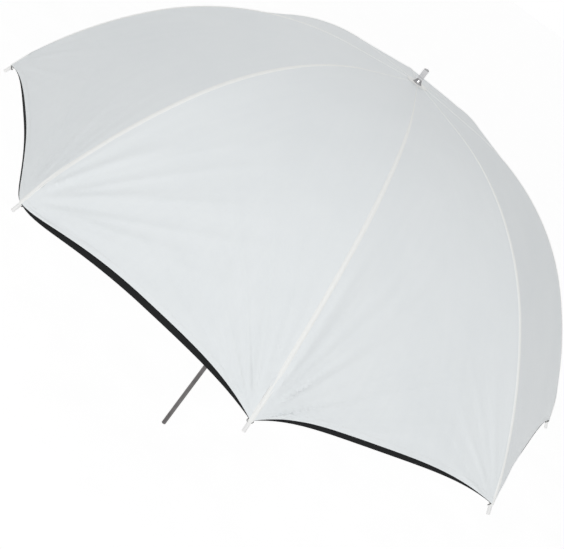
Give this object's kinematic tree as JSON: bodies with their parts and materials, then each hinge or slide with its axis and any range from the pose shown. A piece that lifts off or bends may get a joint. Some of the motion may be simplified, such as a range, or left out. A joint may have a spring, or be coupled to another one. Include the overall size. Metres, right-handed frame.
{
  "type": "umbrella reflector",
  "caption": "Folding photographic umbrella reflector: a white outer canopy over a black-backed inner layer on sprung steel ribs, with a sliding runner and a plain round shaft.",
  "frame": {"origin": "on the shaft's axis at its free end", "axes": "+Z along the shaft towards the ferrule, so the dome opens downward; +X through the first rib"},
  "size_m": [1.0902, 1.0902, 0.7874],
  "materials": {
    "canopy_white": "smooth white coated nylon taffeta, slightly see-through at the hems",
    "liner_cloth": "black-backed cloth, silver on the side that faces the lamp",
    "rod_steel": "plated spring-steel rod",
    "shaft_metal": "drawn steel tube, satin grey plating",
    "ferrule_chrome": "polished chrome plate",
    "pin_steel": "bright steel wire and pins",
    "black_plastic": "moulded black nylon",
    "tip_plastic": "natural white moulded plastic, slightly see-through"
  },
  "bodies": {
    "root": {"shaft": "shaft_metal", "shaft_plug": "black_plastic", "stop_pin": "pin_steel", "ferrule": "ferrule_chrome", "top_disc": "canopy_white", "crown": "black_plastic", "crown_wire": "pin_steel"},
    "runner": {"runner": "black_plastic", "runner_wire": "pin_steel"},
    "catch": {"catch_spring": "pin_steel"},
    "rib_1": {"rib_1": "rod_steel", "rib_tip_1": "tip_plastic", "rivet_1": "pin_steel", "canopy_panel_1": "canopy_white", "liner_panel_1": "liner_cloth"},
    "stretcher_1": {"stretcher_1": "rod_steel"},
    "rib_2": {"rib_2": "rod_steel", "rib_tip_2": "tip_plastic", "rivet_2": "pin_steel", "canopy_panel_2": "canopy_white", "liner_panel_2": "liner_cloth"},
    "stretcher_2": {"stretcher_2": "rod_steel"},
    "rib_3": {"rib_3": "rod_steel", "rib_tip_3": "tip_plastic", "rivet_3": "pin_steel", "canopy_panel_3": "canopy_white", "liner_panel_3": "liner_cloth"},
    "stretcher_3": {"stretcher_3": "rod_steel"},
    "rib_4": {"rib_4": "rod_steel", "rib_tip_4": "tip_plastic", "rivet_4": "pin_steel", "canopy_panel_4": "canopy_white", "liner_panel_4": "liner_cloth"},
    "stretcher_4": {"stretcher_4": "rod_steel"},
    "rib_5": {"rib_5": "rod_steel", "rib_tip_5": "tip_plastic", "rivet_5": "pin_steel", "canopy_panel_5": "canopy_white", "liner_panel_5": "liner_cloth"},
    "stretcher_5": {"stretcher_5": "rod_steel"},
    "rib_6": {"rib_6": "rod_steel", "rib_tip_6": "tip_plastic", "rivet_6": "pin_steel", "canopy_panel_6": "canopy_white", "liner_panel_6": "liner_cloth"},
    "stretcher_6": {"stretcher_6": "rod_steel"},
    "rib_7": {"rib_7": "rod_steel", "rib_tip_7": "tip_plastic", "rivet_7": "pin_steel", "canopy_panel_7": "canopy_white", "liner_panel_7": "liner_cloth"},
    "stretcher_7": {"stretcher_7": "rod_steel"},
    "rib_8": {"rib_8": "rod_steel", "rib_tip_8": "tip_plastic", "rivet_8": "pin_steel", "canopy_panel_8": "canopy_white", "liner_panel_8": "liner_cloth"},
    "stretcher_8": {"stretcher_8": "rod_steel"}
  },
  "joints": [
    {"name": "rib_1_fold", "type": "hinge", "parent": "root", "child": "rib_1", "pos_m": [0.009, 0, 0.75644], "axis": [0, 1, 0], "range_deg": [0, 52], "deforming": ["canopy_panel_1", "liner_panel_1"]},
    {"name": "rib_2_fold", "type": "hinge", "parent": "root", "child": "rib_2", "pos_m": [0.00636, 0.00636, 0.75644], "axis": [-0.7071, 0.7071, 0], "range_deg": [0, 52.01], "deforming": ["canopy_panel_2", "liner_panel_2"]},
    {"name": "rib_3_fold", "type": "hinge", "parent": "root", "child": "rib_3", "pos_m": [0, 0.009, 0.75644], "axis": [-1, 0, 0], "range_deg": [0, 52.01], "deforming": ["canopy_panel_3", "liner_panel_3"]},
    {"name": "rib_4_fold", "type": "hinge", "parent": "root", "child": "rib_4", "pos_m": [-0.00636, 0.00636, 0.75644], "axis": [-0.7071, -0.7071, 0], "range_deg": [0, 52.01], "deforming": ["canopy_panel_4", "liner_panel_4"]},
    {"name": "rib_5_fold", "type": "hinge", "parent": "root", "child": "rib_5", "pos_m": [-0.009, 0, 0.75644], "axis": [0, -1, 0], "range_deg": [0, 52.01], "deforming": ["canopy_panel_5", "liner_panel_5"]},
    {"name": "rib_6_fold", "type": "hinge", "parent": "root", "child": "rib_6", "pos_m": [-0.00636, -0.00636, 0.75644], "axis": [0.7071, -0.7071, 0], "range_deg": [0, 52.01], "deforming": ["canopy_panel_6", "liner_panel_6"]},
    {"name": "rib_7_fold", "type": "hinge", "parent": "root", "child": "rib_7", "pos_m": [0, -0.009, 0.75644], "axis": [1, 0, 0], "range_deg": [0, 52.01], "deforming": ["canopy_panel_7", "liner_panel_7"]},
    {"name": "rib_8_fold", "type": "hinge", "parent": "root", "child": "rib_8", "pos_m": [0.00636, -0.00636, 0.75644], "axis": [0.7071, 0.7071, 0], "range_deg": [0, 52.01], "deforming": ["canopy_panel_8", "liner_panel_8"]},
    {"name": "stretcher_1_pivot", "type": "hinge", "parent": "rib_1", "child": "stretcher_1", "pos_m": [0.25222, 0, 0.70547], "axis": [0, -1, 0], "range_deg": [0, 104.02]},
    {"name": "stretcher_2_pivot", "type": "hinge", "parent": "rib_2", "child": "stretcher_2", "pos_m": [0.17835, 0.17835, 0.70547], "axis": [0.7071, -0.7071, 0], "range_deg": [0, 104.02]},
    {"name": "stretcher_3_pivot", "type": "hinge", "parent": "rib_3", "child": "stretcher_3", "pos_m": [0, 0.25222, 0.70547], "axis": [1, 0, 0], "range_deg": [0, 104.02]},
    {"name": "stretcher_4_pivot", "type": "hinge", "parent": "rib_4", "child": "stretcher_4", "pos_m": [-0.17835, 0.17835, 0.70547], "axis": [0.7071, 0.7071, 0], "range_deg": [0, 104.02]},
    {"name": "stretcher_5_pivot", "type": "hinge", "parent": "rib_5", "child": "stretcher_5", "pos_m": [-0.25222, 0, 0.70547], "axis": [0, 1, 0], "range_deg": [0, 104.02]},
    {"name": "stretcher_6_pivot", "type": "hinge", "parent": "rib_6", "child": "stretcher_6", "pos_m": [-0.17835, -0.17835, 0.70547], "axis": [-0.7071, 0.7071, 0], "range_deg": [0, 104.02]},
    {"name": "stretcher_7_pivot", "type": "hinge", "parent": "rib_7", "child": "stretcher_7", "pos_m": [0, -0.25222, 0.70547], "axis": [-1, 0, 0], "range_deg": [0, 104.02]},
    {"name": "stretcher_8_pivot", "type": "hinge", "parent": "rib_8", "child": "stretcher_8", "pos_m": [0.17835, -0.17835, 0.70547], "axis": [-0.7071, -0.7071, 0], "range_deg": [0, 104.02]},
    {"name": "runner_slide", "type": "slide", "parent": "root", "child": "runner", "axis": [0, 0, -1], "range_m": [0, 0.34425]},
    {"name": "catch_press", "type": "slide", "parent": "root", "child": "catch", "axis": [-0.9239, -0.3827, 0], "range_m": [0, 0.0022], "stiffness_N_per_m": 400, "springref_m": -0.001}
  ],
  "couplings": [
    {"joint": "rib_2_fold", "follows": "rib_1_fold", "ratio": 1},
    {"joint": "rib_3_fold", "follows": "rib_1_fold", "ratio": 1},
    {"joint": "rib_4_fold", "follows": "rib_1_fold", "ratio": 1},
    {"joint": "rib_5_fold", "follows": "rib_1_fold", "ratio": 1},
    {"joint": "rib_6_fold", "follows": "rib_1_fold", "ratio": 1},
    {"joint": "rib_7_fold", "follows": "rib_1_fold", "ratio": 1},
    {"joint": "rib_8_fold", "follows": "rib_1_fold", "ratio": 1},
    {"joint": "stretcher_1_pivot", "follows": "rib_1_fold", "ratio": 2},
    {"joint": "stretcher_2_pivot", "follows": "rib_1_fold", "ratio": 2},
    {"joint": "stretcher_3_pivot", "follows": "rib_1_fold", "ratio": 2},
    {"joint": "stretcher_4_pivot", "follows": "rib_1_fold", "ratio": 2},
    {"joint": "stretcher_5_pivot", "follows": "rib_1_fold", "ratio": 2},
    {"joint": "stretcher_6_pivot", "follows": "rib_1_fold", "ratio": 2},
    {"joint": "stretcher_7_pivot", "follows": "rib_1_fold", "ratio": 2},
    {"joint": "stretcher_8_pivot", "follows": "rib_1_fold", "ratio": 2},
    {"joint": "runner_slide", "follows": "rib_1_fold", "m_per_rad": 0.3792}
  ]
}
